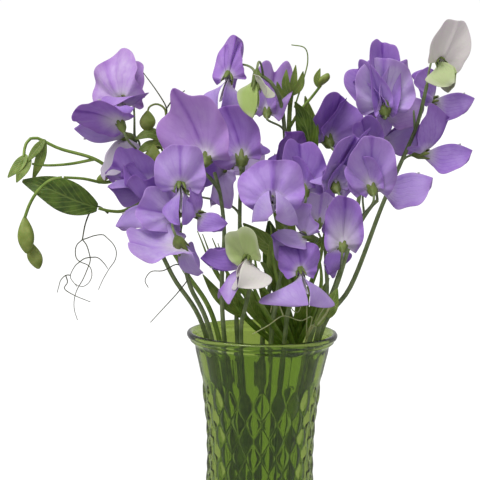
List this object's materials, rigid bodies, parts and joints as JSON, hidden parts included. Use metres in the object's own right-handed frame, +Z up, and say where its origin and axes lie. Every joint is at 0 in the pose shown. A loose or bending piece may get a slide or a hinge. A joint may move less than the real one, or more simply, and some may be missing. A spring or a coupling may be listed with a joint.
{
  "type": "vase of sweet peas",
  "caption": "Bunch of lavender sweet peas with curling tendrils, leaves and buds, standing in a flared green glass vase with raised diamonds.",
  "frame": {"origin": "middle of the vase's flat underside", "axes": "+Z up along the vase's axis, +X to the right and -Y towards the viewer, with the young cream floret at the upper right"},
  "size_m": [0.3021, 0.1555, 0.4092],
  "materials": {
    "green_glass": "clear pressed glass, yellow-green",
    "petal": "soft matt petal, lavender to deep violet",
    "young_petal": "soft matt petal, greenish cream",
    "stalk": "satin green stalk",
    "bud": "satin light green bud",
    "tendril": "satin thin tendril",
    "leaf": "satin dark green leaf"
  },
  "bodies": {
    "root": {"vase": "green_glass", "floret_01": "petal", "floret_02": "petal", "floret_03": "petal", "floret_04": "petal", "floret_05": "petal", "floret_06": "petal", "floret_07": "petal", "floret_08": "petal", "floret_09": "petal", "floret_10": "petal", "floret_11": "petal", "floret_12": "petal", "floret_13": "petal", "floret_14": "petal", "floret_15": "petal", "floret_16": "young_petal", "floret_17": "petal", "floret_18": "petal", "floret_19": "petal", "floret_20": "petal", "floret_21": "petal", "floret_22": "petal", "floret_23": "petal", "floret_24": "petal", "floret_25": "petal", "floret_26": "petal", "floret_27": "petal", "floret_28": "petal", "floret_29": "petal", "floret_30": "petal", "floret_31": "petal", "floret_32": "petal", "floret_33": "young_petal", "floret_34": "petal", "floret_35": "petal", "floret_36": "petal", "floret_37": "petal", "floret_38": "petal", "floret_39": "young_petal", "flower_stem_01": "stalk", "flower_stem_02": "stalk", "flower_stem_03": "stalk", "flower_stem_04": "stalk", "flower_stem_05": "stalk", "flower_stem_06": "stalk", "flower_stem_07": "stalk", "flower_stem_08": "stalk", "flower_stem_09": "stalk", "flower_stem_10": "stalk", "flower_stem_11": "stalk", "flower_stem_12": "stalk", "vine_left": "stalk", "vine_centre": "stalk", "bud_spray_left": "bud", "tendrils_left": "tendril", "tendrils_front": "tendril", "leaf_left": "leaf", "leaf_centre": "leaf", "leaf_back": "leaf"}
  },
  "joints": []
}
